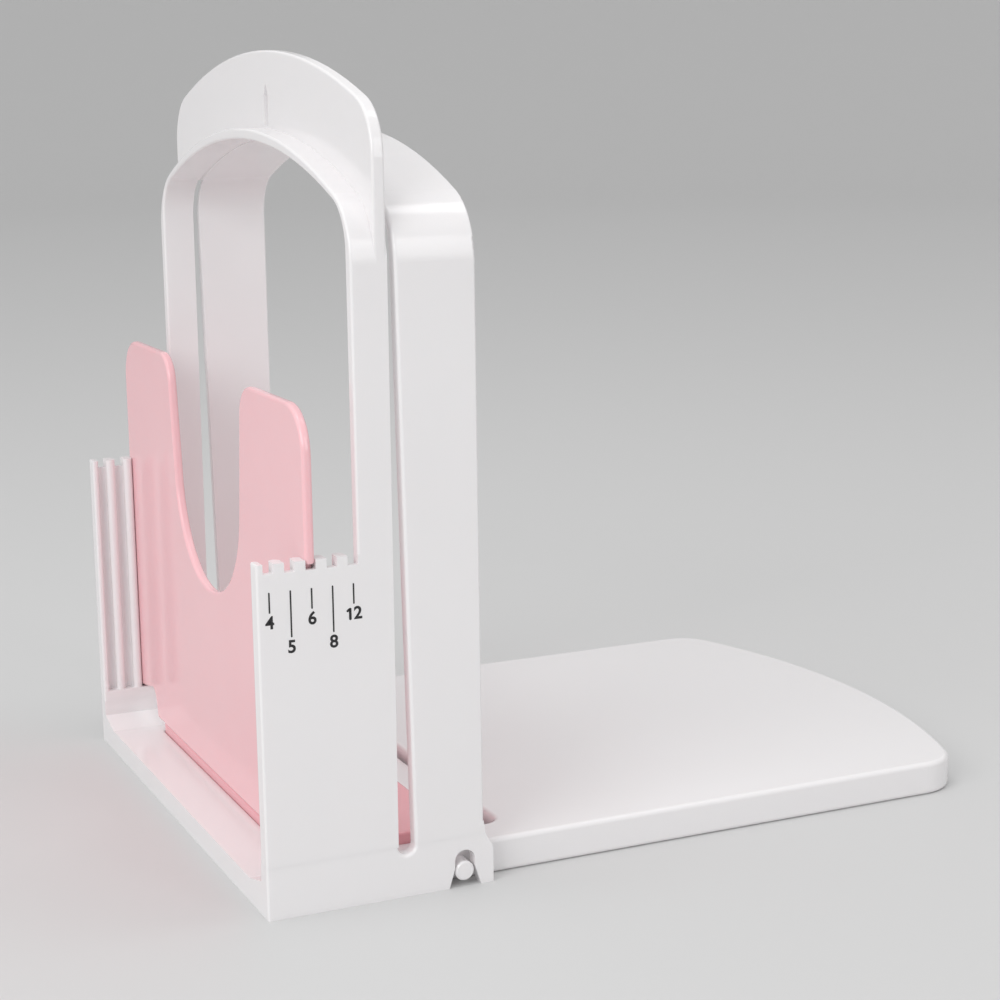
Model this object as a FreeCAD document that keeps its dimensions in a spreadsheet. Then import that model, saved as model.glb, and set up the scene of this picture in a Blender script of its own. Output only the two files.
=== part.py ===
import FreeCAD, Part
import math
import os
import re

import Sketcher
from FreeCAD import Vector

# Bread slicer guide: a white stand with two comb walls and an arched frame that a bread knife is
# drawn through, a loaf-stop divider that drops into the comb grooves, a cutting insert on the
# floor, and a loaf tray hinged to the rear feet.
#
# Axes: X across the loaf, Y along the loaf (front comb end is -Y, tray end is +Y), Z up.
# Origin: on the table, midway between the walls, under the plane the knife rubs against.

doc = FreeCAD.newDocument("bread_slicer_guide")
sheet = doc.addObject("Spreadsheet::Sheet", "dims")

DIMENSIONS = (
    # the comb walls and their grooves
    ("half_width", "76.75", "outer half width of the stand"),
    ("comb_wall", "4.35", "comb wall thickness over the ribs"),
    ("groove_skin", "1.75", "wall left behind each groove"),
    ("groove_width", "2.5", "clear width of a groove"),
    ("groove_pitch", "5", "groove spacing"),
    ("groove_count", "5", "grooves in each wall"),
    ("groove_near", "10", "knife plane to the nearest groove"),
    ("front_margin", "2.8", "first groove to the front edge"),
    ("comb_top", "83.4", "height of the comb walls"),
    ("notch_deep", "2.2", "depth of the notches in the wall tops"),
    ("groove_foot", "15.5", "height at which the grooves stop"),
    ("rib_round", "1.15", "rounding of the rib crests"),
    ("groove_round", "1.1", "rounding along the groove floors"),
    # floor and ledges
    ("floor_top", "6", "height of the floor"),
    ("floor_skin", "2.2", "floor thickness over the underside bays"),
    ("ledge_top", "8.6", "height of the side slopes where they meet the legs"),
    ("ledge_width", "10", "width of the side slopes beside the legs"),
    ("tongue_gap", "1.2", "rear end of the floor to the tray board"),
    # arched frame and its guide plate
    ("leg_wall", "3.25", "thickness of the frame legs"),
    ("frame_rear", "21.3", "rear face of the frame"),
    ("arch_apex", "177.2", "outside height of the arch"),
    ("arch_rise", "18.1", "rise of the arch top above its shoulders"),
    ("arch_corner", "16.5", "outside radius of the arch corners"),
    ("crown_wall", "2.6", "thickness of the arch at its middle"),
    ("opening_corner", "12", "inside radius of the arch corners"),
    ("crown_ratio", "1.07", "inside crown radius over the outside one, a plain number"),
    ("guide_thick", "3", "thickness of the upright guide plate"),
    ("guide_back", "0.1", "guide plate back face ahead of the knife plane"),
    ("guide_above", "19", "top of the guide plate above the arch"),
    ("guide_rise", "14.7", "rise of the guide plate top above its shoulders"),
    ("guide_corner", "14", "radius of the guide plate corners"),
    ("eye_offset", "4.85", "hanging eye off the middle"),
    ("eye_width", "2.9", "width of the hanging eye"),
    ("eye_above", "0.7", "bottom of the hanging eye above the arch"),
    ("eye_height", "10.4", "height of the hanging eye"),
    ("eye_point", "3", "height of its pointed top"),
    ("edge_round", "0.6", "rounding of the moulded edges"),
    ("crease", "0.4", "half width and depth of the crease under the arch"),
    # knife slot
    ("slot_foot", "10.3", "bottom of the knife slot"),
    ("slot_lean", "0.5", "forward lean of the slot front edge at its foot"),
    ("slot_rear_low", "3.8", "slot rear edge at its foot"),
    ("slot_rear_high", "1.5", "slot rear edge at its head"),
    ("slot_below", "15.2", "top of the knife slot below the arch top"),
    ("slot_lip", "0.8", "rounding outside along the slot rear edge and foot"),
    # rear feet and hinge notches
    ("foot_reach", "2.35", "foot behind the frame rear face"),
    ("foot_top", "9", "height of the foot"),
    ("flare_top", "15.6", "height at which the foot flare starts"),
    ("notch_top", "9.1", "top of the hinge notch"),
    ("notch_clear", "0.2", "notch to hinge pin at each side"),
    ("mouth_top", "4.8", "height at which the notch mouth widens"),
    ("mouth_flare", "1.5", "widening of the notch mouth at each side"),
    # tray
    ("pin_y", "16.3", "hinge pin behind the knife plane"),
    ("pin_z", "3.8", "height of the hinge pin"),
    ("pin_diameter", "4.8", "hinge pin diameter"),
    ("pin_chamfer", "0.4", "chamfer of the pin ends"),
    ("tray_gap", "1.5", "tray to leg at each side"),
    ("tray_top", "8.8", "thickness of the tray"),
    ("tray_front", "32.4", "front edge of the tray board"),
    ("tray_end", "176.2", "rear end of the tray"),
    ("tray_bow", "15", "bow of the tray end"),
    ("tray_corner", "12", "radius of the tray corners"),
    ("arm_width", "11", "width of the tray arms"),
    ("arm_side_gap", "1.4", "floor to tray arm at each side"),
    ("arm_nose", "3.4", "arm end ahead of the hinge pin"),
    ("arm_gap", "2.1", "floor cut-out ahead of the arm end"),
    ("arm_inner_round", "4", "radius where the arms meet the board"),
    ("tray_edge", "1.2", "rounding of the tray top edge"),
    ("tray_skin", "2.2", "tray thickness over the underside bays"),
    # moulded ribs below the floor and the tray
    ("rim", "2", "thickness of the rims below floor and tray"),
    ("rib", "1.6", "thickness of the ribs below floor and tray"),
    ("bay", "20", "widest spacing of the ribs"),
    # cutting insert
    ("insert_inset", "4.8", "insert edge inside the side slopes"),
    ("insert_thick", "3.7", "thickness of the cutting insert"),
    ("insert_sink", "0.8", "depth of the floor recess it lies in"),
    ("insert_front", "19.6", "insert front edge ahead of the knife plane"),
    ("insert_corner", "3", "radius of the insert corners"),
    ("insert_fit", "0.2", "gap round the cutting insert"),
    ("insert_edge", "0.8", "rounding of the insert top edge"),
    # loaf-stop divider
    ("divider_groove", "2", "grooves between the divider and the nearest groove"),
    ("divider_thick", "2.35", "thickness of the divider"),
    ("divider_foot", "10", "bottom of the divider"),
    ("divider_inset", "6", "foot of the divider inside the side slopes"),
    ("divider_lean", "2.2", "widening of its lower part up to the side tabs"),
    ("tab_root", "18.2", "bottom of the side tabs where they start"),
    ("foot_fit", "0.05", "ends of the side tabs above the groove feet"),
    ("tab_fit", "0.45", "tab edge to the groove floor"),
    ("tab_round", "3.5", "radius above the lower part"),
    ("shoulder_gap", "1.2", "divider shoulder above the notch floor"),
    ("ear_inset", "0.25", "divider ears inside the outer wall faces"),
    ("divider_top", "117.7", "top of the divider"),
    ("ear_round", "11", "radius of the outer ear corners"),
    ("dip_flare", "6.9", "widening of the finger dip up each side"),
    ("dip_low_half", "24.6", "half width of the finger dip at its floor"),
    ("dip_foot", "60.2", "bottom of the finger dip"),
    ("dip_flat", "0.2027", "half width of the flat left in its floor"),
    ("dip_lip", "8", "radius of the finger dip lips"),
    ("divider_edge", "0.9", "rounding of the divider edges"),
    # how the shapes are cut
    ("overcut", "1", "how far a cut runs past the face it leaves by"),
    ("flat", "0.05", "flat left between the two rounds of a full round end"),
    # places worked out from the sizes above
    ("front_y", "=-(groove_near + (groove_count - 1) * groove_pitch + front_margin)", ""),
    ("leg_front", "=-(groove_near - groove_width / 2)", "front face of the frame legs"),
    ("crest", "=half_width - comb_wall", "rib crests"),
    ("groove_floor", "=half_width - groove_skin", "groove floors"),
    ("leg_inner", "=half_width - leg_wall", "inner face of the legs"),
    ("ledge_half", "=leg_inner - ledge_width", "half width of the flat floor"),
    ("ledge_rise", "=(ledge_top - floor_top) / ledge_width", "rise of the side slopes"),
    ("ledge_crest", "=floor_top + ledge_rise * (crest - ledge_half)", "their height at the ribs"),
    ("tray_half", "=leg_inner - tray_gap", "half width of the tray"),
    ("arm_half", "=tray_half - arm_width", "half distance between the tray arms"),
    ("tongue_half", "=arm_half - arm_side_gap", "half width of the floor between the arms"),
    ("tongue_end", "=tray_front - tongue_gap", "rear end of the floor"),
    ("insert_half", "=ledge_half - insert_inset", "half width of the cutting insert"),
    ("divider_low_half", "=ledge_half - divider_inset", "half width of its lower part"),
    ("ear_half", "=half_width - ear_inset", "half width over the divider ears"),
    ("dip_top_half", "=dip_low_half + dip_flare", "half width of the dip at the top"),
    ("dip_depth", "=divider_top - dip_foot", "depth of the finger dip"),
    ("dip_side", "=sqrt(dip_depth^2 + dip_flare^2)", "length of its side"),
    ("dip_round", "=(dip_low_half - dip_flat) * dip_depth / (dip_side - dip_flare)",
     "radius that rounds each half of its floor"),
    ("opening_apex", "=arch_apex - crown_wall", "inside height of the arch"),
    ("guide_apex", "=arch_apex + guide_above", "height of the guide plate"),
    ("eye_foot", "=arch_apex + eye_above", "bottom of the hanging eye"),
    ("slot_head", "=arch_apex - slot_below", "top of the knife slot"),
    ("slot_radius", "=(slot_rear_low + slot_lean) / 2", "radius of the slot foot"),
    ("slot_middle", "=(slot_rear_low - slot_lean) / 2", "slot middle at its foot"),
    ("seat_z", "=slot_foot + slot_radius", "height where base and frames meet"),
    ("seam_y", "=slot_rear_high / 2", "plane where front and rear frames meet"),
    ("flare_radius", "=(foot_reach^2 + (flare_top - foot_top)^2) / (2 * foot_reach)", ""),
    ("notch_radius", "=pin_diameter / 2 + notch_clear", "hinge notch half width"),
    ("arm_front", "=pin_y - arm_nose", "front end of the tray arms"),
    ("cut_front", "=arm_front - arm_gap", "front end of the floor cut-outs"),
    ("notch_floor", "=comb_top - notch_deep", "floor of the wall top notches"),
    ("tab_half", "=groove_floor - tab_fit", "half width over the divider tabs"),
    ("arch_crown", "=(half_width^2 + arch_rise^2) / (2 * arch_rise)", "crown radius"),
    ("opening_crown", "=arch_crown * crown_ratio", "crown radius"),
    ("guide_crown", "=(half_width^2 + guide_rise^2) / (2 * guide_rise)", "crown radius"),
    ("tray_crown", "=(tray_half^2 + tray_bow^2) / (2 * tray_bow)", "radius of the bowed end"),
)


def fill_sheet():
    """Write the sizes into the sheet, one row each: name, value, meaning."""
    for row, (name, value, meaning) in enumerate(DIMENSIONS, start=1):
        sheet.set("A%d" % row, name)
        sheet.set("B%d" % row, value)
        sheet.set("C%d" % row, meaning)
        sheet.setAlias("B%d" % row, name)
    doc.recompute()


def size(expression):
    """The present value of an expression over the sheet, in millimetres."""
    return float(sheet.evalExpression(expression))


def bind(thing, prop, expression):
    """Tie a property to an expression whose names are names in the sheet."""
    def full_name(match):
        word = match.group(0)
        return "dims." + word if word in SHEET_NAMES else word

    thing.setExpression(prop, re.sub(r"[A-Za-z_]\w*", full_name, expression))


SHEET_NAMES = {name for name, value, meaning in DIMENSIONS}


# ---------------------------------------------------------------- sketches

# A sketch on the XZ plane looks along +Y, so its own normal is -Y.
PLANE_SIGN = {"XY_Plane": 1, "XZ_Plane": -1, "YZ_Plane": 1}


def new_body(name):
    return doc.addObject("PartDesign::Body", name)


def origin_part(body, role):
    """One of the body's own origin planes or axes."""
    return [part for part in body.Origin.OriginFeatures if part.Role == role][0]


def new_sketch(body, role, level="0"):
    """A sketch on an origin plane of the body, moved to a level along the plane's own axis."""
    sketch = body.newObject("Sketcher::SketchObject", body.Name + "_sketch")
    sketch.AttachmentSupport = [(origin_part(body, role), "")]
    sketch.MapMode = "FlatFace"
    bind(sketch, "AttachmentOffset.Base.z", "%d * (%s)" % (PLANE_SIGN[role], level))
    return sketch


def pin_point(sketch, geometry, point, across, up):
    """Hold a sketch point at a place given by two expressions."""
    for kind, place in (("DistanceX", across), ("DistanceY", up)):
        rule = Sketcher.Constraint(kind, -1, 1, geometry, point, size(place))
        number = sketch.addConstraint(rule)
        bind(sketch, "Constraints[%d]" % number, place)


def set_radius(sketch, arc, radius):
    number = sketch.addConstraint(Sketcher.Constraint("Radius", arc, size(radius)))
    bind(sketch, "Constraints[%d]" % number, radius)


def end_at(sketch, geometry, point):
    """1 or 2: which end of a curve lies at the point."""
    near = sketch.getPoint(geometry, 1).distanceToPoint(point)
    far = sketch.getPoint(geometry, 2).distanceToPoint(point)
    return 1 if near < far else 2


def tangent_ends(sketch, first, second, point):
    """Join two curves smoothly at the point they share."""
    first_end = end_at(sketch, first, point)
    second_end = end_at(sketch, second, point)
    rule = Sketcher.Constraint("Tangent", first, first_end, second, second_end)
    sketch.addConstraint(rule)


def draw_outline(sketch, corners):
    """A closed outline through corners given as (across, up) or (across, up, radius)."""
    count = len(corners)
    places = [Vector(size(corner[0]), size(corner[1]), 0) for corner in corners]
    arrive = []
    leave = []
    for i, corner in enumerate(corners):
        back = (places[i - 1] - places[i]).normalize()
        ahead = (places[(i + 1) % count] - places[i]).normalize()
        reach = 0
        if len(corner) == 3:
            reach = size(corner[2]) / math.tan(back.getAngle(ahead) / 2)
        arrive.append(places[i] + back * reach)
        leave.append(places[i] + ahead * reach)
    lines = []
    for i in range(count):
        segment = Part.LineSegment(leave[i], arrive[(i + 1) % count])
        lines.append(sketch.addGeometry(segment, False))
    for i, corner in enumerate(corners):
        before = lines[i - 1]
        after = lines[i]
        if len(corner) == 2:
            sketch.addConstraint(Sketcher.Constraint("Coincident", before, 2, after, 1))
            pin_point(sketch, after, 1, corner[0], corner[1])
            continue
        inward = ((arrive[i] + leave[i]) * 0.5 - places[i]).normalize()
        half_angle = (arrive[i] - places[i]).getAngle(leave[i] - places[i]) / 2
        radius = size(corner[2])
        middle = places[i] + inward * (radius / math.sin(half_angle) - radius)
        arc = sketch.addGeometry(Part.Arc(arrive[i], middle, leave[i]), False)
        tangent_ends(sketch, before, arc, arrive[i])
        tangent_ends(sketch, arc, after, leave[i])
        set_radius(sketch, arc, corner[2])
        apex = sketch.addGeometry(Part.Point(places[i]), True)
        pin_point(sketch, apex, 1, corner[0], corner[1])
        sketch.addConstraint(Sketcher.Constraint("PointOnObject", apex, 1, before))
        sketch.addConstraint(Sketcher.Constraint("PointOnObject", apex, 1, after))


def draw_arch(sketch, half, foot, apex, crown, corner):
    """Upright sides, rounded corners and a shallow crown, closed along the foot."""
    side = size(half)
    low = size(foot)
    crown_radius = size(crown)
    corner_radius = size(corner)
    crown_centre = Vector(0, size(apex) - crown_radius, 0)
    reach = side - corner_radius
    rise = math.sqrt((crown_radius - corner_radius) ** 2 - reach ** 2)
    outward = Vector(reach, rise, 0).normalize()
    corner_centre = crown_centre + Vector(reach, rise, 0)
    meet = crown_centre + outward * crown_radius
    halfway = (outward + Vector(1, 0, 0)).normalize()
    middle = corner_centre + halfway * corner_radius
    shoulder = Vector(side, corner_centre.y, 0)
    foot_point = Vector(side, low, 0)

    def flip(point):
        return Vector(-point.x, point.y, 0)

    right = sketch.addGeometry(Part.LineSegment(foot_point, shoulder), False)
    right_arc = sketch.addGeometry(Part.Arc(shoulder, middle, meet), False)
    top = crown_centre + Vector(0, crown_radius, 0)
    crown_arc = sketch.addGeometry(Part.Arc(meet, top, flip(meet)), False)
    left_arc = sketch.addGeometry(Part.Arc(flip(meet), flip(middle), flip(shoulder)), False)
    left = sketch.addGeometry(Part.LineSegment(flip(shoulder), flip(foot_point)), False)
    bottom = sketch.addGeometry(Part.LineSegment(flip(foot_point), foot_point), False)
    tangent_ends(sketch, right, right_arc, shoulder)
    tangent_ends(sketch, right_arc, crown_arc, meet)
    tangent_ends(sketch, crown_arc, left_arc, flip(meet))
    tangent_ends(sketch, left_arc, left, flip(shoulder))
    sketch.addConstraint(Sketcher.Constraint("Vertical", right))
    sketch.addConstraint(Sketcher.Constraint("Vertical", left))
    sketch.addConstraint(Sketcher.Constraint("Coincident", left, 2, bottom, 1))
    sketch.addConstraint(Sketcher.Constraint("Coincident", bottom, 2, right, 1))
    pin_point(sketch, right, 1, half, foot)
    pin_point(sketch, left, 2, "-(%s)" % half, foot)
    pin_point(sketch, crown_arc, 3, "0", "%s - (%s)" % (apex, crown))
    for arc, radius in ((crown_arc, crown), (right_arc, corner), (left_arc, corner)):
        set_radius(sketch, arc, radius)


def draw_box(sketch, left, bottom, right, top):
    draw_outline(sketch, [(left, bottom), (right, bottom), (right, top), (left, top)])


def draw_circle(sketch, across, up, radius):
    centre = Vector(size(across), size(up), 0)
    circle = Part.Circle(centre, Vector(0, 0, 1), size(radius))
    number = sketch.addGeometry(circle, False)
    pin_point(sketch, number, 3, across, up)
    set_radius(sketch, number, radius)


# ---------------------------------------------------------------- features

# Edges this close, in millimetres, count as lying at one place.
SAME_PLACE = 0.02
# A feature that changes the volume by less, in cubic millimetres, has missed the body.
LEAST_CHANGE = 0.001


def volume(body):
    return body.Tip.Shape.Volume if body.Tip else 0


def finish(feature, before, grows):
    """Recompute and make sure the feature really added or took away material."""
    doc.recompute()
    if feature.Shape.isNull() or not feature.Shape.isValid():
        raise RuntimeError("%s made no valid shape" % feature.Name)
    change = feature.Shape.Volume - before
    if (change > 0) != grows or abs(change) < LEAST_CHANGE:
        raise RuntimeError("%s changed the volume by %.4f" % (feature.Name, change))
    return feature


def pad(body, sketch, length, middle=False):
    """Extrude a sketch along its normal, or half to each side of it."""
    before = volume(body)
    feature = body.newObject("PartDesign::Pad", body.Name + "_pad")
    feature.Profile = sketch
    feature.Midplane = middle
    bind(feature, "Length", length)
    return finish(feature, before, True)


def cut(body, sketch, length=None, back=False):
    """Pocket a sketch: to a length along its normal or back, or right through both ways."""
    before = volume(body)
    feature = body.newObject("PartDesign::Pocket", body.Name + "_pocket")
    feature.Profile = sketch
    if length is None:
        feature.Type = "ThroughAll"
        feature.Midplane = True
    else:
        bind(feature, "Length", length)
        feature.Reversed = not back
    return finish(feature, before, False)


def repeat(body, feature, role, pitch, count):
    """Repeat a feature in a row along an origin axis of the body."""
    before = volume(body)
    row = body.newObject("PartDesign::LinearPattern", body.Name + "_row")
    row.Originals = [feature]
    row.Direction = (origin_part(body, role), [""])
    row.Mode = "Spacing"
    bind(row, "Offset", pitch)
    bind(row, "Occurrences", count)
    body.Tip = row
    return finish(row, before, feature.TypeId == "PartDesign::Pad")


def mirror(body, feature):
    """Repeat a feature on the other side of the middle plane."""
    before = volume(body)
    copy = body.newObject("PartDesign::Mirrored", body.Name + "_mirror")
    copy.Originals = [feature]
    copy.MirrorPlane = (origin_part(body, "YZ_Plane"), [""])
    body.Tip = copy
    return finish(copy, before, feature.TypeId == "PartDesign::Pad")


def chosen_edges(shape, wanted):
    """Names of the edges whose bounding boxes the test accepts."""
    return ["Edge%d" % n for n, edge in enumerate(shape.Edges, start=1) if wanted(edge.BoundBox)]


def soften(body, radius, wanted, kind="Fillet"):
    """Fillet or chamfer the edges of the body that the test accepts."""
    base = body.Tip
    names = chosen_edges(base.Shape, wanted)
    if not names:
        raise RuntimeError("no edge of %s to soften" % body.Name)
    feature = body.newObject("PartDesign::" + kind, body.Name + "_soft")
    feature.Base = (base, names)
    bind(feature, "Radius" if kind == "Fillet" else "Size", radius)
    doc.recompute()
    if not feature.Shape.isValid() or feature.Shape.isNull():
        raise RuntimeError("%s could not be softened" % body.Name)
    return feature


def near(value, target):
    """True when two lengths agree within the tolerance used to pick edges."""
    return abs(value - target) < SAME_PLACE


def flat_at(low, high, level):
    """True when both ends of a box lie at one level."""
    return near(low, level) and near(high, level)


def stands(box):
    """True when an edge's box rises at all."""
    return not near(box.ZMin, box.ZMax)


# ---------------------------------------------------------------- frames

def cut_slot(body):
    """The knife slot above the base, seen from the side and cut through both walls."""
    sketch = new_sketch(body, "YZ_Plane")
    draw_outline(sketch, [
        ("-slot_lean", "seat_z"),
        ("slot_rear_low", "seat_z"),
        ("slot_rear_high", "slot_head"),
        ("0", "slot_head"),
    ])
    cut(body, sketch)


def cut_crease(body):
    """Half of the shallow crease that runs under the arch where the two frames meet."""
    seam = size("seam_y")
    apex = size("opening_apex")
    soften(body, "crease", lambda box: flat_at(box.YMin, box.YMax, seam)
           and near(box.ZMax, apex), kind="Chamfer")


def build_front_frame():
    """Guide plate, front band of the arch and the two comb walls, in one moulding."""
    body = new_body("front_frame")
    plate = new_sketch(body, "XZ_Plane", "-guide_back")
    draw_arch(plate, "half_width", "seat_z", "guide_apex", "guide_crown", "guide_corner")
    pad(body, plate, "guide_thick")
    soften(body, "edge_round", lambda box: stands(box) and near(box.YMin, box.YMax))

    band = new_sketch(body, "XZ_Plane", "seam_y")
    draw_arch(band, "half_width", "seat_z", "arch_apex", "arch_crown", "arch_corner")
    pad(body, band, "seam_y - leg_front")
    opening = new_sketch(body, "XZ_Plane")
    draw_arch(opening, "leg_inner", "seat_z", "opening_apex", "opening_crown", "opening_corner")
    cut(body, opening)
    build_hanging_eye(body)
    leg_front = size("leg_front")
    soften(body, "edge_round", lambda box: stands(box)
           and flat_at(box.YMin, box.YMax, leg_front))

    walls = new_sketch(body, "XY_Plane", "seat_z")
    draw_box(walls, "crest", "front_y", "half_width", "leg_front")
    draw_box(walls, "-half_width", "front_y", "-crest", "leg_front")
    pad(body, walls, "comb_top - seat_z")
    front = size("front_y")
    top = size("comb_top")
    soften(body, "edge_round", lambda box: flat_at(box.YMin, box.YMax, front)
           and near(box.ZMax, top))
    cheeks = new_sketch(body, "XY_Plane", "seat_z")
    for left, right in (("leg_inner + edge_round", "half_width"),
                        ("-half_width", "-leg_inner - edge_round")):
        draw_box(cheeks, left, "leg_front", right, "leg_front + edge_round")
    pad(body, cheeks, "comb_top - seat_z")
    groove = new_sketch(body, "XY_Plane", "comb_top")
    low = "-(groove_near + (groove_count - 1) * groove_pitch + groove_width / 2)"
    high = "-(groove_near + (groove_count - 1) * groove_pitch - groove_width / 2)"
    draw_box(groove, "crest - overcut", low, "groove_floor", high)
    draw_box(groove, "-groove_floor", low, "overcut - crest", high)
    grooves = cut(body, groove, "comb_top - groove_foot", back=True)
    repeat(body, grooves, "Y_Axis", "groove_pitch", "groove_count")
    round_grooves(body)
    notch = new_sketch(body, "XY_Plane", "comb_top")
    draw_box(notch, "groove_floor - overcut", low, "half_width + overcut", high)
    draw_box(notch, "-half_width - overcut", low, "overcut - groove_floor", high)
    notches = cut(body, notch, "notch_deep", back=True)
    repeat(body, notches, "Y_Axis", "groove_pitch", "groove_count")
    cut_slot(body)
    cut_crease(body)
    return body


def round_grooves(body):
    """Round the rib crests and the groove floors, less where the wall beside them is slim."""
    leg_front = size("leg_front")
    top = size("comb_top")
    crest = size("crest")
    floor = size("groove_floor")
    front_groove = size("front_y + front_margin - groove_width / 2")

    def upright(box, level):
        return (near(box.ZMax, top) and flat_at(box.YMin, box.YMax, box.YMin)
                and near(box.XMin, box.XMax) and near(abs(box.XMin), level))

    soften(body, "rib_round", lambda box: upright(box, crest)
           and not near(box.YMin, front_groove))
    soften(body, "edge_round", lambda box: upright(box, crest) and near(box.YMin, front_groove))
    soften(body, "groove_round", lambda box: upright(box, floor)
           and not near(box.YMin, leg_front))
    soften(body, "edge_round", lambda box: upright(box, floor) and near(box.YMin, leg_front))


def build_hanging_eye(body):
    """The small pointed slit near the top of the guide plate."""
    sketch = new_sketch(body, "XZ_Plane")
    left = "eye_offset - eye_width / 2"
    right = "eye_offset + eye_width / 2"
    neck = "eye_foot + eye_height - eye_point"
    draw_outline(sketch, [
        (left, "eye_foot"),
        (right, "eye_foot"),
        (right, neck),
        ("eye_offset", "eye_foot + eye_height"),
        (left, neck),
    ])
    cut(body, sketch)


def build_rear_frame():
    """Rear band of the arch, from the seam to its rear face, with flared leg feet."""
    body = new_body("rear_frame")
    band = new_sketch(body, "XZ_Plane", "frame_rear")
    draw_arch(band, "half_width", "seat_z", "arch_apex", "arch_crown", "arch_corner")
    pad(body, band, "frame_rear - seam_y")
    cut_slot(body)
    side = size("half_width")
    low = size("slot_rear_low")
    soften(body, "slot_lip", lambda box: near(box.XMin, box.XMax)
           and near(abs(box.XMin), side) and near(box.YMax, low))
    opening = new_sketch(body, "XZ_Plane")
    draw_arch(opening, "leg_inner", "seat_z", "opening_apex", "opening_crown", "opening_corner")
    cut(body, opening)
    rear = size("frame_rear")
    soften(body, "edge_round", lambda box: stands(box) and flat_at(box.YMin, box.YMax, rear))
    cut_crease(body)
    heel = new_sketch(body, "XY_Plane", "seat_z")
    for left, right in (("leg_inner", "half_width"), ("-half_width", "-leg_inner")):
        draw_box(heel, left, "frame_rear - edge_round", right, "frame_rear + foot_reach")
    pad(body, heel, "flare_top - seat_z")
    cut_flare(body)
    return body


def cut_flare(body):
    """Hollow curve from the frame's rear face down to the rear edge of the foot."""
    sketch = new_sketch(body, "YZ_Plane")
    centre = Vector(size("frame_rear + flare_radius"), size("flare_top"), 0)
    head = Vector(size("frame_rear"), size("flare_top"), 0)
    toe = Vector(size("frame_rear + foot_reach"), size("foot_top"), 0)
    corner = Vector(toe.x, head.y, 0)
    radius = size("flare_radius")
    bulge = ((head + toe) * 0.5 - centre).normalize()
    arc = sketch.addGeometry(Part.Arc(head, centre + bulge * radius, toe), False)
    rise = sketch.addGeometry(Part.LineSegment(toe, corner), False)
    roof = sketch.addGeometry(Part.LineSegment(corner, head), False)
    toe_end = end_at(sketch, arc, toe)
    sketch.addConstraint(Sketcher.Constraint("Coincident", arc, toe_end, rise, 1))
    sketch.addConstraint(Sketcher.Constraint("Coincident", rise, 2, roof, 1))
    sketch.addConstraint(Sketcher.Constraint("Coincident", roof, 2, arc, 3 - toe_end))
    pin_point(sketch, rise, 1, "frame_rear + foot_reach", "foot_top")
    pin_point(sketch, roof, 1, "frame_rear + foot_reach", "flare_top")
    pin_point(sketch, roof, 2, "frame_rear", "flare_top")
    set_radius(sketch, arc, "flare_radius")
    cut(body, sketch)


# ---------------------------------------------------------------- ribbed undersides

def add_rib(name, left, start, width, length, height):
    """A straight rib standing on the table, as a box."""
    box = doc.addObject("Part::Box", name)
    bind(box, "Placement.Base.x", left)
    bind(box, "Placement.Base.y", start)
    bind(box, "Length", width)
    bind(box, "Width", length)
    bind(box, "Height", height)
    return box


def add_ribs(name, half, start, end, height):
    """A lattice of ribs over a field, one of them along the middle, none further than a bay."""
    across = 2 * math.ceil(size(half) / size("bay"))
    along = math.ceil(size("%s - (%s)" % (end, start)) / size("bay"))
    ribs = []
    for i in range(1, across):
        left = "%d * 2 * (%s) / %d - (%s) - rib / 2" % (i, half, across, half)
        ribs.append(add_rib(name + "_long", left, start, "rib", "%s - (%s)" % (end, start), height))
    for i in range(1, along):
        place = "%s + %d * (%s - (%s)) / %d - rib / 2" % (start, i, end, start, along)
        ribs.append(add_rib(name + "_cross", "-(%s)" % half, place, "2 * (%s)" % half, "rib", height))
    lattice = doc.addObject("Part::MultiFuse", name)
    lattice.Shapes = ribs
    return lattice


def cut_out(name, blank, tool):
    """The blank with the tool's volume taken away."""
    result = doc.addObject("Part::Cut", name)
    result.Base = blank
    result.Tool = tool
    doc.recompute()
    return result


# ---------------------------------------------------------------- base

def draw_insert(sketch, room):
    """The cutting insert's outline seen from above, with room left all round."""
    half = "insert_half + " + room
    front = "-insert_front - " + room
    rear = "frame_rear + " + room
    draw_outline(sketch, [
        ("-(%s)" % half, front, "insert_corner"),
        (half, front, "insert_corner"),
        (half, rear, "insert_corner"),
        ("-(%s)" % half, rear, "insert_corner"),
    ])


def build_base_blank():
    """Floor, side slopes, low walls and rear feet, still solid below."""
    body = new_body("base_blank")
    block = new_sketch(body, "XY_Plane")
    draw_box(block, "-half_width", "front_y", "half_width", "frame_rear + foot_reach")
    pad(body, block, "seat_z")
    front = size("front_y")
    soften(body, "edge_round", lambda box: flat_at(box.YMin, box.YMax, front)
           and near(box.XMin, box.XMax))
    for half, foot, start, end in (
        ("crest", "ledge_crest", "front_y", "leg_front"),
        ("leg_inner", "ledge_top", "leg_front", "frame_rear + foot_reach"),
    ):
        bay = new_sketch(body, "XZ_Plane", end)
        draw_outline(bay, [
            ("-" + half, "seat_z"),
            ("-" + half, foot),
            ("-ledge_half", "floor_top"),
            ("ledge_half", "floor_top"),
            (half, foot),
            (half, "seat_z"),
        ])
        cut(body, bay, "%s - (%s)" % (end, start))
    tongue = new_sketch(body, "XY_Plane")
    draw_box(tongue, "-tongue_half", "cut_front", "tongue_half", "tongue_end")
    pad(body, tongue, "floor_top")
    recess = new_sketch(body, "XY_Plane", "floor_top - insert_sink")
    draw_insert(recess, "insert_fit")
    cut(body, recess, "insert_sink + overcut")
    side = new_sketch(body, "XY_Plane")
    draw_box(side, "tongue_half", "cut_front", "leg_inner", "frame_rear + foot_reach + overcut")
    mirror(body, cut(body, side, "seat_z"))
    return body


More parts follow.
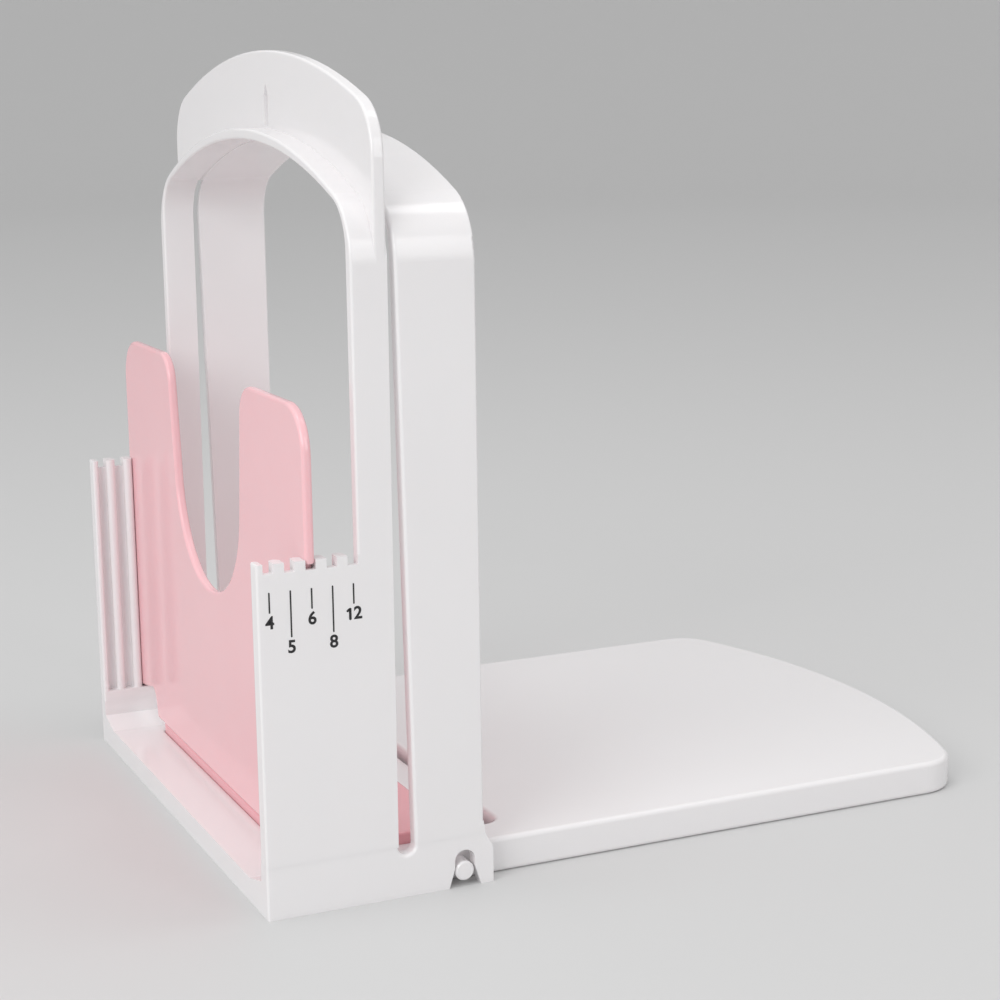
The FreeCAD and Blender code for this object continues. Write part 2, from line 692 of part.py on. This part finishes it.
def cut_feet(body):
    """Foot flare, hinge notches and the round foot of the knife slot."""
    cut_flare(body)
    notch = new_sketch(body, "YZ_Plane", "half_width")
    draw_outline(notch, [
        ("pin_y - notch_radius - mouth_flare", "0"),
        ("pin_y + notch_radius + mouth_flare", "0"),
        ("pin_y + notch_radius", "mouth_top"),
        ("pin_y + notch_radius", "notch_top", "notch_radius - flat"),
        ("pin_y - notch_radius", "notch_top", "notch_radius - flat"),
        ("pin_y - notch_radius", "mouth_top"),
    ])
    mirror(body, cut(body, notch, "leg_wall + overcut", back=True))
    slot = new_sketch(body, "YZ_Plane")
    draw_circle(slot, "slot_middle", "seat_z", "slot_radius")
    cut(body, slot)
    side = size("half_width")
    foot = size("slot_foot")
    soften(body, "slot_lip", lambda box: near(box.XMin, box.XMax)
           and near(abs(box.XMin), side) and near(box.ZMin, foot))


def build_base():
    blank = build_base_blank()
    cut_feet(blank)
    hollow = new_body("base_hollow")
    field = new_sketch(hollow, "XY_Plane", "-overcut")
    wide = "crest"
    slim = "tongue_half - rim"
    draw_outline(field, [
        ("-" + wide, "front_y + rim"),
        (wide, "front_y + rim"),
        (wide, "cut_front - rim"),
        (slim, "cut_front - rim"),
        (slim, "tongue_end - rim"),
        ("-(%s)" % slim, "tongue_end - rim"),
        ("-(%s)" % slim, "cut_front - rim"),
        ("-" + wide, "cut_front - rim"),
    ])
    pad(hollow, field, "floor_top - floor_skin + overcut")
    ribs = add_ribs("base_ribs", wide, "front_y", "tongue_end", "floor_top")
    bays = cut_out("base_bays", hollow, ribs)
    return cut_out("base", blank, bays)


# ---------------------------------------------------------------- insert, divider, tray

def build_cutting_insert():
    """A flat plate lying in the floor recess below the knife."""
    body = new_body("cutting_insert")
    plate = new_sketch(body, "XY_Plane", "floor_top - insert_sink")
    draw_insert(plate, "0")
    pad(body, plate, "insert_thick")
    top = size("floor_top - insert_sink + insert_thick")
    soften(body, "insert_edge", lambda box: flat_at(box.ZMin, box.ZMax, top))
    return body


def build_divider():
    """The loaf stop: tabs in the grooves, ears over the notches, a finger dip in its top."""
    body = new_body("divider")
    plate = new_sketch(body, "XZ_Plane")
    shoulder = "notch_floor + shoulder_gap"
    right = [
        ("divider_low_half", "divider_foot"),
        ("divider_low_half + divider_lean", "tab_root", "tab_round"),
        ("tab_half", "groove_foot + foot_fit"),
        ("tab_half", shoulder),
        ("ear_half", shoulder),
        ("ear_half", "divider_top", "ear_round"),
        ("dip_top_half", "divider_top", "dip_lip"),
        ("dip_low_half", "dip_foot", "dip_round"),
    ]
    left = [("-(%s)" % corner[0],) + corner[1:] for corner in reversed(right)]
    draw_outline(plate, right + left)
    pad(body, plate, "divider_thick", middle=True)
    face = size("divider_thick / 2")
    soften(body, "divider_edge", lambda box: near(box.YMin, box.YMax)
           and near(abs(box.YMin), face))
    bind(body, "Placement.Base.y", "-(groove_near + divider_groove * groove_pitch)")
    return body


def build_tray_blank():
    """The loaf tray board with its two arms and hinge pins, still solid below."""
    body = new_body("tray_blank")
    board = new_sketch(body, "XY_Plane")
    draw_arch(board, "tray_half", "arm_front", "tray_end", "tray_crown", "tray_corner")
    pad(body, board, "tray_top")
    gap = new_sketch(body, "XY_Plane")
    draw_outline(gap, [
        ("-arm_half", "arm_front - overcut"),
        ("arm_half", "arm_front - overcut"),
        ("arm_half", "tray_front", "arm_inner_round"),
        ("-arm_half", "tray_front", "arm_inner_round"),
    ])
    cut(body, gap)
    nose = size("arm_front")
    soften(body, "arm_nose", lambda box: flat_at(box.YMin, box.YMax, nose)
           and near(box.ZMin, box.ZMax))
    top = size("tray_top")
    soften(body, "tray_edge", lambda box: flat_at(box.ZMin, box.ZMax, top))
    pins = new_sketch(body, "YZ_Plane")
    draw_circle(pins, "pin_y", "pin_z", "pin_diameter / 2")
    pad(body, pins, "2 * half_width", middle=True)
    between = new_sketch(body, "XY_Plane")
    draw_box(between, "-arm_half", "arm_front", "arm_half", "tray_front - arm_inner_round")
    cut(body, between)
    end = size("half_width")
    soften(body, "pin_chamfer", lambda box: near(abs(box.XMin), end)
           and near(box.XMin, box.XMax), kind="Chamfer")
    return body


def build_tray():
    blank = build_tray_blank()
    hollow = new_body("tray_hollow")
    field = new_sketch(hollow, "XY_Plane", "-overcut")
    draw_arch(field, "tray_half - rim", "tray_front + rim", "tray_end - rim",
              "tray_crown - rim", "tray_corner - rim")
    pad(hollow, field, "tray_top - tray_skin + overcut")
    ribs = add_ribs("tray_ribs", "tray_half - rim", "tray_front + rim", "tray_end", "tray_top")
    bays = cut_out("tray_bays", hollow, ribs)
    return cut_out("tray", blank, bays)


# ---------------------------------------------------------------- the whole guide

def check_document():
    """Stop if any object of the document failed or holds no valid shape."""
    for thing in doc.Objects:
        if "Invalid" in thing.State or "Error" in thing.State:
            raise RuntimeError("%s failed" % thing.Name)
        if thing.isDerivedFrom("Part::Feature") and not thing.Shape.isValid():
            raise RuntimeError("%s holds no valid shape" % thing.Name)


fill_sheet()
nodes = [
    build_base(),
    build_front_frame(),
    build_rear_frame(),
    build_cutting_insert(),
    build_divider(),
    build_tray(),
]
doc.recompute()
check_document()
os.makedirs("parts", exist_ok=True)
for node in nodes:
    solids = node.Shape.Solids
    if len(solids) != 1:
        raise RuntimeError("%s is %d solids" % (node.Label, len(solids)))
    node.Shape.exportStep("parts/%s.step" % node.Label)
    print(node.Label, round(node.Shape.Volume), node.Shape.optimalBoundingBox())
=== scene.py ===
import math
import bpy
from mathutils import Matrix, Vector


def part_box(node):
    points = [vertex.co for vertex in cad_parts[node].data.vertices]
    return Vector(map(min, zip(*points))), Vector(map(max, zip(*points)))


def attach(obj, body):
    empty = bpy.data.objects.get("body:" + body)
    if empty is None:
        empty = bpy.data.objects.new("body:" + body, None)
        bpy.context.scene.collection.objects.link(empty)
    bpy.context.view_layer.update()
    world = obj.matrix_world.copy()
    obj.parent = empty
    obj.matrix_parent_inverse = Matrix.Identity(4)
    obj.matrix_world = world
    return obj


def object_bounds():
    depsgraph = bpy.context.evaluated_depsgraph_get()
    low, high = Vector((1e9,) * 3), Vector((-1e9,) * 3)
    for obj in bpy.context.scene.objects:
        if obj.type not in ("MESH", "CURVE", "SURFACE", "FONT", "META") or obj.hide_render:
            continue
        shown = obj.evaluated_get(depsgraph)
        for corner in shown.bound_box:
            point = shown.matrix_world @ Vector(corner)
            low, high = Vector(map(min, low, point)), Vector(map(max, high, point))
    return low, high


bl_info = {
    "name": "Bread slicer guide looks",
    "version": (1, 0, 0),
    "blender": (4, 5, 0),
    "location": "View3D > Sidebar > Slicer Guide",
    "description": "Finishes, printed scale, light and camera for a bread slicer guide",
    "category": "Object",
}

import bpy
from mathutils import Matrix, Vector

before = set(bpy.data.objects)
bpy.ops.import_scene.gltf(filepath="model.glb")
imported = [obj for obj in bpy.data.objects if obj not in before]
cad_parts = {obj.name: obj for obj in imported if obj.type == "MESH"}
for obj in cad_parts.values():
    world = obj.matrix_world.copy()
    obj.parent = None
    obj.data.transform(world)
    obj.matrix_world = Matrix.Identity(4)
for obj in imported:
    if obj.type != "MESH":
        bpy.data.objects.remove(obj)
CAD_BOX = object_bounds()
MM = 0.001
PLASTIC_IOR = 1.5
SENSOR_WIDTH = 36.0     # millimetres, as Blender's lenses are counted
# sockets of a colour mix, by number because its other kinds share their names
MIX_FACTOR, MIX_FIRST, MIX_SECOND, MIX_RESULT = 0, 6, 7, 2


def from_hex(code):
    """Linear red, green and blue of an sRGB hex colour."""
    levels = [int(code[i:i + 2], 16) / 255 for i in (1, 3, 5)]
    return [v / 12.92 if v <= 0.04045 else ((v + 0.055) / 1.055) ** 2.4 for v in levels]


def deselect_all():
    """Deselect everything, because an operator acts on all that is selected."""
    for thing in bpy.context.selected_objects:
        thing.select_set(False)


# ---------------------------------------------------------------- settings

class ShellSettings(bpy.types.PropertyGroup):
    """White moulded shell: stand and tray."""
    colour: bpy.props.FloatVectorProperty(
        name="Plastic colour", description="Colour of the white moulding",
        subtype="COLOR", default=from_hex("#F2F0F1"))
    shade: bpy.props.FloatVectorProperty(
        name="Flow shade", description="Colour of the faint flow clouds in the white moulding",
        subtype="COLOR", default=from_hex("#EFEDEE"))
    gloss: bpy.props.FloatProperty(
        name="Roughness", description="Surface roughness of the white moulding",
        default=0.15, min=0.0, max=1.0)
    grain: bpy.props.FloatProperty(
        name="Grain", description="Size of the fine mould texture",
        default=0.45 * MM, unit="LENGTH")


class PlateSettings(bpy.types.PropertyGroup):
    """Pink moulded plates: divider and cutting insert."""
    colour: bpy.props.FloatVectorProperty(
        name="Plastic colour", description="Colour of the pink plates",
        subtype="COLOR", default=from_hex("#FACACF"))
    shade: bpy.props.FloatVectorProperty(
        name="Flow shade", description="Colour of the faint flow clouds in the pink plates",
        subtype="COLOR", default=from_hex("#F7C1C7"))
    # The insert's colour holds painted shade: a deeper pink than the divider, standing in for the
    # shade the insert lies in under the divider and behind the knife slot.
    insert_painted_shade_colour: bpy.props.FloatVectorProperty(
        name="Insert colour", description="Colour of the thicker pink insert",
        subtype="COLOR", default=from_hex("#F8B7BE"))
    # Its flow clouds are deepened the same way, as painted shade.
    insert_painted_shade_flow: bpy.props.FloatVectorProperty(
        name="Insert flow shade", description="Colour of the faint flow clouds in the insert",
        subtype="COLOR", default=from_hex("#F5AEB6"))
    gloss: bpy.props.FloatProperty(
        name="Roughness", description="Surface roughness of the pink plates",
        default=0.1, min=0.0, max=1.0)


class PrintSettings(bpy.types.PropertyGroup):
    """Slice-thickness scale printed on the outer wall."""
    ink: bpy.props.FloatVectorProperty(
        name="Ink colour", description="Colour of the printed scale",
        subtype="COLOR", default=from_hex("#0E0D0F"))
    thin_ink: bpy.props.FloatVectorProperty(
        name="Thin ink colour", description="Colour of the scale where the film is thinner",
        subtype="COLOR", default=from_hex("#2C2B2E"))
    first_line: bpy.props.FloatProperty(
        name="First line", description="Place of the line that is farthest from the knife",
        default=-30 * MM, unit="LENGTH")
    line_pitch: bpy.props.FloatProperty(
        name="Line pitch", description="Distance between two lines, as between two grooves",
        default=5 * MM, unit="LENGTH")
    line_width: bpy.props.FloatProperty(
        name="Line width", description="Width of the scale lines",
        default=0.38 * MM, unit="LENGTH")
    line_top: bpy.props.FloatProperty(
        name="Line top", description="Height of the upper ends of the lines",
        default=77.0 * MM, unit="LENGTH")
    short_foot: bpy.props.FloatProperty(
        name="Short line foot", description="Height of the lower ends of the short lines",
        default=72.2 * MM, unit="LENGTH")
    long_foot: bpy.props.FloatProperty(
        name="Long line foot", description="Height of the lower ends of the long lines",
        default=66.2 * MM, unit="LENGTH")
    numeral_height: bpy.props.FloatProperty(
        name="Numeral height", description="Height of the numerals",
        default=2.85 * MM, unit="LENGTH")
    numeral_gap: bpy.props.FloatProperty(
        name="Numeral gap", description="Room between a line and its numeral",
        default=0.85 * MM, unit="LENGTH")
    stroke: bpy.props.FloatProperty(
        name="Numeral stroke", description="Stroke width of the numerals",
        default=0.62 * MM, unit="LENGTH")
    film: bpy.props.FloatProperty(
        name="Ink film", description="Thickness of the printed film",
        default=0.02 * MM, unit="LENGTH")


class StageSettings(bpy.types.PropertyGroup):
    """Floor, light and camera."""
    floor: bpy.props.FloatVectorProperty(
        name="Floor colour", description="Colour of the plain floor",
        subtype="COLOR", default=from_hex("#D2D2D2"))
    floor_reach: bpy.props.FloatProperty(
        name="Floor reach", description="Radius of the flat part of the floor",
        default=3.0, unit="LENGTH")
    sweep: bpy.props.FloatProperty(
        name="Sweep", description="Radius of the curve by which the floor's rim rises",
        default=1.5, unit="LENGTH")
    azimuth: bpy.props.FloatProperty(
        name="Camera azimuth", description="Turn of the camera round the guide",
        default=math.radians(65.58), unit="ROTATION")
    pitch: bpy.props.FloatProperty(
        name="Camera pitch", description="How far the camera looks down",
        default=math.radians(11.14), unit="ROTATION")
    roll: bpy.props.FloatProperty(
        name="Camera roll", description="Turn of the camera about its own line of sight",
        default=math.radians(-0.748), unit="ROTATION")
    place: bpy.props.FloatVectorProperty(
        name="Camera place", description="Where the camera stands",
        subtype="TRANSLATION", unit="LENGTH", default=(0.50757, -0.1690, 0.18586))
    lens: bpy.props.FloatProperty(
        name="Lens", description="Focal length in millimetres",
        default=75.04)
    sky: bpy.props.FloatProperty(
        name="Sky strength", description="Strength of the even pale surround",
        default=0.72)
    front: bpy.props.FloatProperty(
        name="Front strength", description="Power of the light before the comb end, in watts",
        default=5.4)
    side: bpy.props.FloatProperty(
        name="Side strength", description="Power of the light beside the tray, in watts",
        default=1.0)
    top: bpy.props.FloatProperty(
        name="Top strength", description="Power of the light overhead, in watts",
        default=2.5)
    rear: bpy.props.FloatProperty(
        name="Rear strength", description="Power of the light above the tray, in watts",
        default=1.0)


# ---------------------------------------------------------------- materials

def add_node(tree, kind, settings=None, **links):
    """Add a node, set its properties and sockets, and link its inputs from other sockets."""
    node = tree.nodes.new(kind)
    for name, value in (settings or {}).items():
        if name in node.inputs:
            node.inputs[name].default_value = value
        else:
            setattr(node, name, value)
    for name, source in links.items():
        tree.links.new(source, node.inputs[name.replace("_", " ")])
    return node


def new_material(name):
    """An empty material, its tree and its surface shader."""
    material = bpy.data.materials.new(name)
    material.use_nodes = True
    tree = material.node_tree
    return material, tree, tree.nodes["Principled BSDF"]


def set_mottled_colour(tree, shader, mottle, colour, shade):
    """Let the base colour drift between two tones by a noise."""
    tint = add_node(tree, "ShaderNodeMix", {"data_type": "RGBA"})
    tint.inputs[MIX_FIRST].default_value = (*colour, 1)
    tint.inputs[MIX_SECOND].default_value = (*shade, 1)
    tree.links.new(mottle.outputs["Fac"], tint.inputs[MIX_FACTOR])
    tree.links.new(tint.outputs[MIX_RESULT], shader.inputs["Base Color"])


def set_relief(tree, shader, noise, strength, depth):
    """Raise the surface by a noise, to a depth in metres."""
    relief = add_node(tree, "ShaderNodeBump", {"Strength": strength, "Distance": depth},
                      Height=noise.outputs["Fac"])
    tree.links.new(relief.outputs["Normal"], shader.inputs["Normal"])


def moulded_plastic(name, colour, shade, roughness, grain, relief):
    """Injection-moulded plastic: faint flow clouds, a satin mould grain, slight unevenness."""
    cloud_size = 38 * MM
    cloud_low, cloud_high = 0.35, 0.65      # range that most of the cloud noise spans
    smoothest, roughest = 0.9, 1.12         # share of the roughness in the clouds
    material, tree, shader = new_material(name)
    place = add_node(tree, "ShaderNodeTexCoord").outputs["Object"]
    clouds = add_node(tree, "ShaderNodeTexNoise", {"Scale": 1 / cloud_size, "Detail": 3.0},
                      Vector=place)
    set_mottled_colour(tree, shader, clouds, colour, shade)
    polish = add_node(tree, "ShaderNodeMapRange",
                      {"From Min": cloud_low, "From Max": cloud_high,
                       "To Min": roughness * smoothest, "To Max": roughness * roughest},
                      Value=clouds.outputs["Fac"])
    tree.links.new(polish.outputs["Result"], shader.inputs["Roughness"])
    fine = add_node(tree, "ShaderNodeTexNoise", {"Scale": 1 / grain, "Detail": 2.0}, Vector=place)
    set_relief(tree, shader, fine, 0.5, relief)
    shader.inputs["IOR"].default_value = PLASTIC_IOR
    return material, shader


def satin_white_polypropylene(settings):
    """White PP as moulded: milky, with a broad soft shine and light that enters a little."""
    relief = 0.003 * MM
    material, shader = moulded_plastic(
        "satin_white_polypropylene", settings.colour, settings.shade,
        settings.gloss, settings.grain, relief)
    shader.inputs["Subsurface Weight"].default_value = 0.12
    shader.inputs["Subsurface Radius"].default_value = (1.0, 0.95, 0.9)
    shader.inputs["Subsurface Scale"].default_value = 1.5 * MM
    return material


def polished_pink_polypropylene(name, colour, shade, settings):
    """Pink PP off a polished mould: mirrors the walls softly; the insert's colours passed in are
    deeper, with painted shade.
    """
    grain = 0.6 * MM
    relief = 0.0015 * MM
    material, shader = moulded_plastic(name, colour, shade, settings.gloss, grain, relief)
    shader.inputs["Subsurface Weight"].default_value = 0.15
    shader.inputs["Subsurface Radius"].default_value = (1.0, 0.5, 0.5)
    shader.inputs["Subsurface Scale"].default_value = 2.0 * MM
    return material


def pad_printed_ink(settings):
    """Black pad-printing ink: a thin matt film with slightly uneven cover."""
    speckle = 0.5 * MM
    relief = 0.003 * MM
    material, tree, shader = new_material("pad_printed_ink")
    place = add_node(tree, "ShaderNodeTexCoord").outputs["Object"]
    cover = add_node(tree, "ShaderNodeTexNoise", {"Scale": 1 / speckle, "Detail": 2.0},
                     Vector=place)
    set_mottled_colour(tree, shader, cover, settings.ink, settings.thin_ink)
    set_relief(tree, shader, cover, 0.4, relief)
    shader.inputs["Roughness"].default_value = 0.45
    shader.inputs["IOR"].default_value = PLASTIC_IOR
    return material


def backdrop_paper(settings):
    """Plain pale studio floor: matt, with the faint tooth of coated paper."""
    tooth_size = 2 * MM
    relief = 0.02 * MM
    material, tree, shader = new_material("backdrop_paper")
    place = add_node(tree, "ShaderNodeTexCoord").outputs["Object"]
    tooth = add_node(tree, "ShaderNodeTexNoise", {"Scale": 1 / tooth_size, "Detail": 3.0},
                     Vector=place)
    set_relief(tree, shader, tooth, 0.2, relief)
    shader.inputs["Base Color"].default_value = (*settings.floor, 1)
    shader.inputs["Roughness"].default_value = 0.7
    return material


def dress(node, material):
    """Give a carried-over node its finish on its own material slots."""
    mesh_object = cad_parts[node]
    if not mesh_object.material_slots:
        raise RuntimeError("%s has no material slot" % node)
    for slot in mesh_object.material_slots:
        slot.material = material


# ---------------------------------------------------------------- pieces

class SLICER_OT_finish_shell(bpy.types.Operator):
    """Give the stand and the tray their white moulded finish"""
    bl_idname = "slicer.finish_shell"
    bl_label = "Finish shell"

    def execute(self, context):
        material = satin_white_polypropylene(context.scene.slicer_shell)
        for node in ("base", "front_frame", "rear_frame", "tray"):
            dress(node, material)
        return {"FINISHED"}


class SLICER_OT_finish_plates(bpy.types.Operator):
    """Give the divider and the cutting insert their pink polished finish"""
    bl_idname = "slicer.finish_plates"
    bl_label = "Finish plates"

    def execute(self, context):
        settings = context.scene.slicer_plates
        dress("divider", polished_pink_polypropylene(
            "polished_pink_polypropylene", settings.colour, settings.shade, settings))
        # The insert gets the deeper pink, which is painted shade for where it lies under the
        # divider.
        dress("cutting_insert", polished_pink_polypropylene(
            "polished_pink_insert_painted_shade", settings.insert_painted_shade_colour,
            settings.insert_painted_shade_flow, settings))
        return {"FINISHED"}


def add_line(across, middle, length, width, wall, lean=0.0):
    """One printed line with rounded ends, centred on its place on the outer wall."""
    rounding = width * 0.45     # just under half the width, so that no two rounds meet
    deselect_all()
    bpy.ops.mesh.primitive_plane_add(size=1)
    line = bpy.context.object
    line.scale = (width, length, 1)
    bpy.ops.object.transform_apply(location=False, rotation=False, scale=True)
    bpy.ops.object.mode_set(mode="EDIT")
    bpy.ops.mesh.bevel(offset=rounding, segments=4, affect="VERTICES")
    bpy.ops.object.mode_set(mode="OBJECT")
    line.rotation_euler.z = lean
    bpy.ops.object.transform_apply(location=False, rotation=True, scale=False)
    set_on_wall(line, across, middle, wall)
    return line


def add_flagged_one(across, middle, wall, settings):
    """A numeral 1 with a flag: an upright stroke and a short leaning one at its head."""
    height = settings.numeral_height
    lean = math.radians(-52)
    flag_length = height * 0.36
    flag_reach = flag_length * 0.42
    flag_rise = height * 0.32
    flag_stroke = settings.stroke * 0.85
    stem = add_line(across, middle, height, settings.stroke, wall)
    flag = add_line(across - flag_reach, middle + flag_rise, flag_length, flag_stroke,
                    wall, lean)
    return [stem, flag]


def add_numeral(text, across, middle, wall, settings):
    """One bold numeral as thin as the film, centred on its place on the outer wall."""
    cap_share = 0.70    # height of a numeral over the font's size
    bold = settings.numeral_height * 0.02   # growth of its outline, and again by its bevel
    deselect_all()
    bpy.ops.object.text_add()
    numeral = bpy.context.object
    numeral.data.body = text
    numeral.data.align_x = "CENTER"
    numeral.data.align_y = "CENTER"
    numeral.data.size = settings.numeral_height / cap_share
    numeral.data.offset = bold
    numeral.data.bevel_depth = bold
    numeral.data.bevel_resolution = 0
    bpy.ops.object.convert(target="MESH")
    numeral = bpy.context.object
    numeral.scale.z = settings.film / numeral.dimensions.z
    numeral.location.z = settings.film / 2
    bpy.ops.object.transform_apply(location=True, rotation=False, scale=True)
    set_on_wall(numeral, across, middle, wall)
    return numeral


def join_pieces(pieces):
    """The pieces as one object."""
    deselect_all()
    for piece in pieces:
        piece.select_set(True)
    bpy.context.view_layer.objects.active = pieces[0]
    bpy.ops.object.join()
    return bpy.context.object


def set_on_wall(piece, across, up, wall):
    """Turn a flat piece to face outwards and set it on the outer wall, place in its mesh."""
    turn = Matrix.Rotation(math.pi / 2, 4, "Z") @ Matrix.Rotation(math.pi / 2, 4, "X")
    piece.matrix_world = Matrix.Translation((wall, across, up)) @ turn
    deselect_all()
    piece.select_set(True)
    bpy.context.view_layer.objects.active = piece
    bpy.ops.object.transform_apply(location=True, rotation=True, scale=True)


class SLICER_OT_print_scale(bpy.types.Operator):
    """Print the slice-thickness scale on the outer comb wall"""
    bl_idname = "slicer.print_scale"
    bl_label = "Print scale"

    def execute(self, context):
        settings = context.scene.slicer_print
        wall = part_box("front_frame")[1][0]
        half_step = settings.numeral_height * 0.33      # half the step between 1 and 2
        lines = []
        numerals = []
        for count, text in enumerate(("4", "5", "6", "8", "12")):
            place = settings.first_line + count * settings.line_pitch
            is_long = count % 2 == 1
            foot = settings.long_foot if is_long else settings.short_foot
            length = settings.line_top - foot
            lines.append(add_line(place, foot + length / 2, length,
                                  settings.line_width, wall))
            middle = foot - settings.numeral_gap - settings.numeral_height / 2
            if len(text) == 2:
                lines += add_flagged_one(place - half_step, middle, wall, settings)
                place += half_step
            numerals.append(add_numeral(text[-1], place, middle, wall, settings))
        ruled = join_pieces(lines)
        film = ruled.modifiers.new("film", "SOLIDIFY")
        film.thickness = settings.film
        film.offset = 1.0       # the wall carries the film, which stands out from it
        bpy.ops.object.modifier_apply(modifier="film")
        scale = join_pieces([ruled] + numerals)
        scale.name = "printed_scale"
        scale.data.name = "printed_scale"
        scale.data.materials.clear()
        scale.data.materials.append(pad_printed_ink(settings))
        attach(scale, "stand")
        return {"FINISHED"}


# ---------------------------------------------------------------- stage

def add_soft_light(name, place, target, size, power):
    """A rectangular soft box at a place, turned to its target."""
    data = bpy.data.lights.new(name, "AREA")
    data.shape = "RECTANGLE"
    data.size, data.size_y = size
    data.energy = power
    light = bpy.data.objects.new(name, data)
    light.location = place
    light.rotation_euler = (Vector(target) - Vector(place)).to_track_quat("-Z", "Y").to_euler()
    bpy.context.scene.collection.objects.link(light)


def add_floor(settings):
    """A wide round floor whose rim sweeps up all round, so that no horizon line shows."""
    sides = 96
    rings = 12
    deselect_all()
    bpy.ops.mesh.primitive_circle_add(vertices=sides, radius=settings.floor_reach,
                                      fill_type="NGON")
    floor = bpy.context.object
    floor.name = "studio_floor"
    bpy.ops.object.mode_set(mode="EDIT")
    bpy.ops.mesh.select_mode(type="EDGE")
    bpy.ops.mesh.select_all(action="SELECT")
    reach = settings.floor_reach
    height = 0.0
    for ring in range(1, rings + 1):
        turn = math.pi / 2 * ring / rings
        next_reach = settings.floor_reach + settings.sweep * math.sin(turn)
        next_height = settings.sweep * (1 - math.cos(turn))
        if ring == 1:
            bpy.ops.mesh.region_to_loop()
        bpy.ops.mesh.extrude_edges_move(
            TRANSFORM_OT_translate={"value": (0, 0, next_height - height)})
        stretch = next_reach / reach
        bpy.ops.transform.resize(value=(stretch, stretch, 1), center_override=(0, 0, 0))
        reach = next_reach
        height = next_height
    bpy.ops.mesh.select_all(action="SELECT")
    bpy.ops.mesh.normals_make_consistent(inside=True)
    bpy.ops.object.mode_set(mode="OBJECT")
    bpy.ops.object.shade_smooth()
    floor.data.materials.append(backdrop_paper(settings))


def light_surround(settings):
    """An even pale surround that fills the shadows."""
    world = bpy.data.worlds.new("studio_surround")
    world.use_nodes = True
    surround = world.node_tree.nodes["Background"]
    surround.inputs["Color"].default_value = (1, 1, 1, 1)
    surround.inputs["Strength"].default_value = settings.sky
    bpy.context.scene.world = world


def hang_lights(settings):
    """The soft boxes round the guide, each with its place, size and power."""
    middle = (Vector(CAD_BOX[0]) + Vector(CAD_BOX[1])) / 2
    for name, place, size, power in (
        ("front_box", (0.6, -0.95, 0.62), (0.8, 0.6), settings.front),
        ("side_box", (1.1, 0.42, 0.5), (0.22, 0.6), settings.side),
        ("top_box", (0.1, -0.25, 1.35), (0.6, 0.5), settings.top),
        ("rear_box", (0.19, 0.53, 1.2), (0.35, 0.3), settings.rear),
    ):
        add_soft_light(name, place, middle, size, power)


def set_camera(settings):
    """The camera at its place, turned, tilted down and rolled."""
    data = bpy.data.cameras.new("studio_camera")
    data.lens = settings.lens
    data.sensor_width = SENSOR_WIDTH
    camera = bpy.data.objects.new("studio_camera", data)
    turn = Matrix.Rotation(settings.azimuth, 4, "Z")
    tilt = Matrix.Rotation(math.pi / 2 - settings.pitch, 4, "X")
    roll = Matrix.Rotation(settings.roll, 4, "Z")
    camera.matrix_world = Matrix.Translation(settings.place) @ turn @ tilt @ roll
    bpy.context.scene.collection.objects.link(camera)
    bpy.context.scene.camera = camera


class SLICER_OT_set_stage(bpy.types.Operator):
    """Lay the floor, hang the lights and set the camera"""
    bl_idname = "slicer.set_stage"
    bl_label = "Set stage"

    def execute(self, context):
        settings = context.scene.slicer_stage
        add_floor(settings)
        light_surround(settings)
        hang_lights(settings)
        set_camera(settings)
        context.scene.view_settings.view_transform = "Standard"
        return {"FINISHED"}


class SLICER_PT_panel(bpy.types.Panel):
    """Sizes, colours and steps of the bread slicer guide"""
    bl_idname = "SLICER_PT_panel"
    bl_label = "Bread slicer guide"
    bl_space_type = "VIEW_3D"
    bl_region_type = "UI"
    bl_category = "Slicer Guide"

    def draw(self, context):
        for group in SETTINGS:
            box = self.layout.box()
            for name in SETTINGS[group].__annotations__:
                box.prop(getattr(context.scene, group), name)
        for operator in OPERATORS:
            self.layout.operator(operator.bl_idname)


SETTINGS = {
    "slicer_shell": ShellSettings,
    "slicer_plates": PlateSettings,
    "slicer_print": PrintSettings,
    "slicer_stage": StageSettings,
}
OPERATORS = (
    SLICER_OT_finish_shell,
    SLICER_OT_finish_plates,
    SLICER_OT_print_scale,
    SLICER_OT_set_stage,
)


def register():
    """Make the settings, the steps and the panel known, and put the settings on the scene."""
    for kind in (*SETTINGS.values(), *OPERATORS, SLICER_PT_panel):
        bpy.utils.register_class(kind)
    for name, kind in SETTINGS.items():
        setattr(bpy.types.Scene, name, bpy.props.PointerProperty(type=kind))


def unregister():
    """Undo what register does."""
    for name in SETTINGS:
        delattr(bpy.types.Scene, name)
    for kind in (SLICER_PT_panel, *reversed(OPERATORS), *reversed(SETTINGS.values())):
        bpy.utils.unregister_class(kind)


def main():
    """Dress the guide and set its stage."""
    register()
    bpy.ops.slicer.finish_shell()
    bpy.ops.slicer.finish_plates()
    bpy.ops.slicer.print_scale()
    bpy.ops.slicer.set_stage()


if __name__ == "__main__":
    main()
